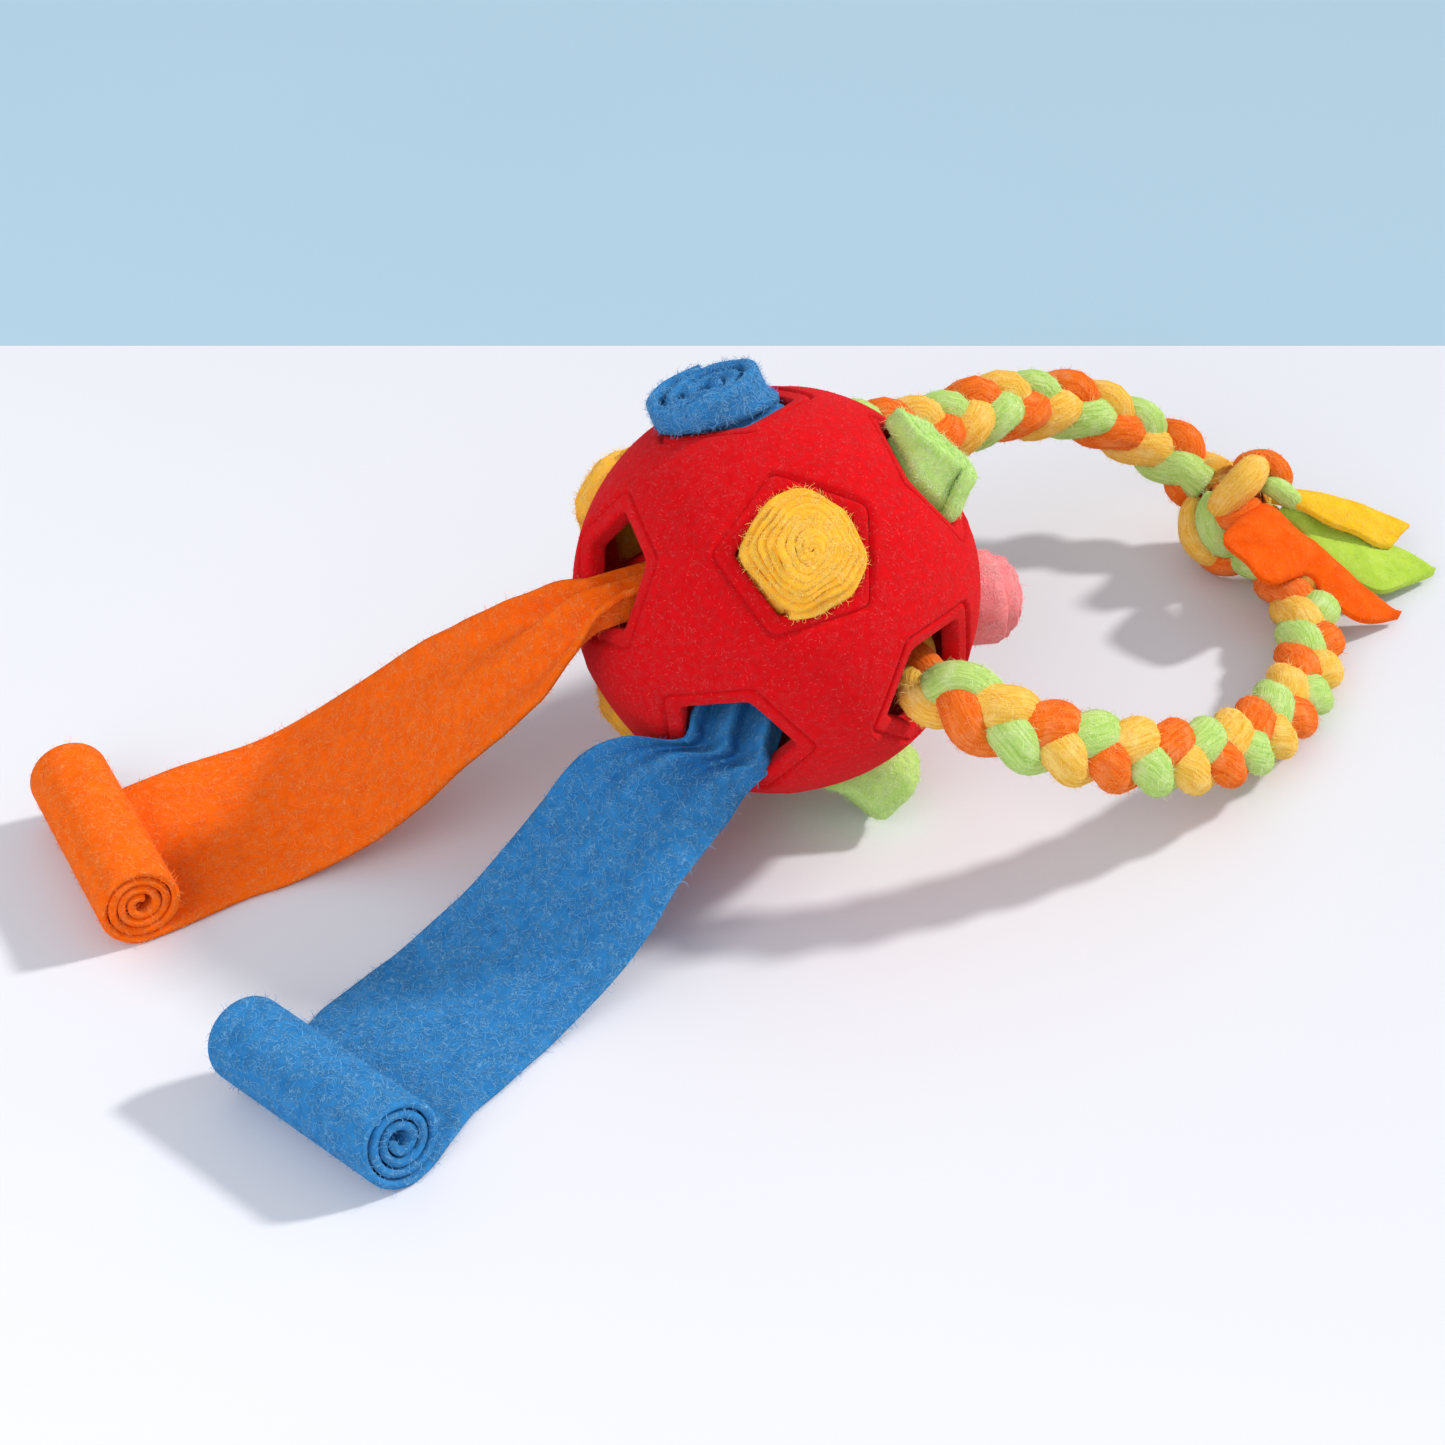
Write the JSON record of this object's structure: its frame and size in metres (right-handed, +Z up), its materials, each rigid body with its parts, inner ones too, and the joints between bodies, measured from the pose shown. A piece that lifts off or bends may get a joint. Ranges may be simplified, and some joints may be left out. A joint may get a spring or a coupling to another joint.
{
  "type": "rope and fabric dog toy",
  "caption": "Hollow faceted ball with pentagonal openings, coloured felt rolls tucked in, felt strips pulled out and wound at their ends, and a plaited fleece ring with a knot.",
  "frame": {"origin": "on the table, at the centre of the toy's bounding box seen from above", "axes": "+Z up from the table; +X toward the rope ring, -X toward the orange strip's wound end, -Y toward the side the picture is taken from"},
  "size_m": [0.3392, 0.243, 0.1063],
  "materials": {
    "red_flock": "matte, short flock on moulded rubber",
    "yellow_felt": "matte needled felt",
    "blue_felt": "matte needled felt",
    "green_felt": "matte needled felt",
    "pink_felt": "matte needled felt",
    "orange_felt": "matte needled felt",
    "fleece_plait": "matte fleece, three colours plaited",
    "yellow_fleece": "matte fleece",
    "green_fleece": "matte fleece",
    "orange_fleece": "matte fleece"
  },
  "bodies": {
    "ball": {"ball_shell": "red_flock", "orange_strip_neck": "orange_felt", "blue_strip_neck": "blue_felt"},
    "roll_centre": {"roll_centre": "yellow_felt"},
    "roll_top": {"roll_top": "blue_felt"},
    "roll_upper_right": {"roll_upper_right": "green_felt"},
    "roll_right": {"roll_right": "pink_felt"},
    "roll_upper_left": {"roll_upper_left": "yellow_felt"},
    "roll_lower_left": {"roll_lower_left": "yellow_felt"},
    "roll_under": {"roll_under": "green_felt"},
    "roll_back": {"roll_back": "orange_felt"},
    "orange_strip": {"orange_strip": "orange_felt"},
    "blue_strip": {"blue_strip": "blue_felt"},
    "rope": {"rope_near": "fleece_plait", "rope_inside": "fleece_plait", "rope_far": "fleece_plait", "knot": "fleece_plait", "tail_yellow": "yellow_fleece", "tail_green": "green_fleece", "tail_orange": "orange_fleece"}
  },
  "joints": [
    {"name": "roll_centre_pull", "type": "slide", "parent": "ball", "child": "roll_centre", "axis": [0.0948, -0.7013, 0.7065], "range_m": [0, 0.028]},
    {"name": "roll_top_pull", "type": "slide", "parent": "ball", "child": "roll_top", "axis": [-0.2403, 0.2693, 0.9326], "range_m": [0, 0.028]},
    {"name": "roll_upper_right_pull", "type": "slide", "parent": "ball", "child": "roll_upper_right", "axis": [0.758, 0.112, 0.6425], "range_m": [0, 0.026]},
    {"name": "roll_right_pull", "type": "slide", "parent": "ball", "child": "roll_right", "axis": [0.848, 0.379, -0.3705], "range_m": [0, 0.026]},
    {"name": "roll_upper_left_pull", "type": "slide", "parent": "ball", "child": "roll_upper_left", "axis": [-0.7674, 0.6335, 0.0989], "range_m": [0, 0.028]},
    {"name": "roll_lower_left_pull", "type": "slide", "parent": "ball", "child": "roll_lower_left", "axis": [-0.758, -0.112, -0.6425], "range_m": [0, 0.028]},
    {"name": "roll_under_pull", "type": "slide", "parent": "ball", "child": "roll_under", "axis": [0.2403, -0.2693, -0.9326], "range_m": [0, 0.028]},
    {"name": "roll_back_pull", "type": "slide", "parent": "ball", "child": "roll_back", "axis": [-0.0948, 0.7013, -0.7065], "range_m": [0, 0.028]},
    {"name": "orange_strip_lift", "type": "hinge", "parent": "ball", "child": "orange_strip", "pos_m": [-0.03655, -0.00872, 0.06755], "axis": [-0.5067, 0.7846, -0.3571], "range_deg": [0, 40]},
    {"name": "blue_strip_lift", "type": "hinge", "parent": "ball", "child": "blue_strip", "pos_m": [-0.01077, -0.03032, 0.0409], "axis": [-0.9495, 0.1496, 0.2759], "range_deg": [0, 40]},
    {"name": "rope_ring_swing", "type": "hinge", "parent": "ball", "child": "rope", "pos_m": [0.01965, 0.01497, 0.05353], "axis": [0.3085, -0.9266, -0.215], "range_deg": [0, 70]}
  ]
}
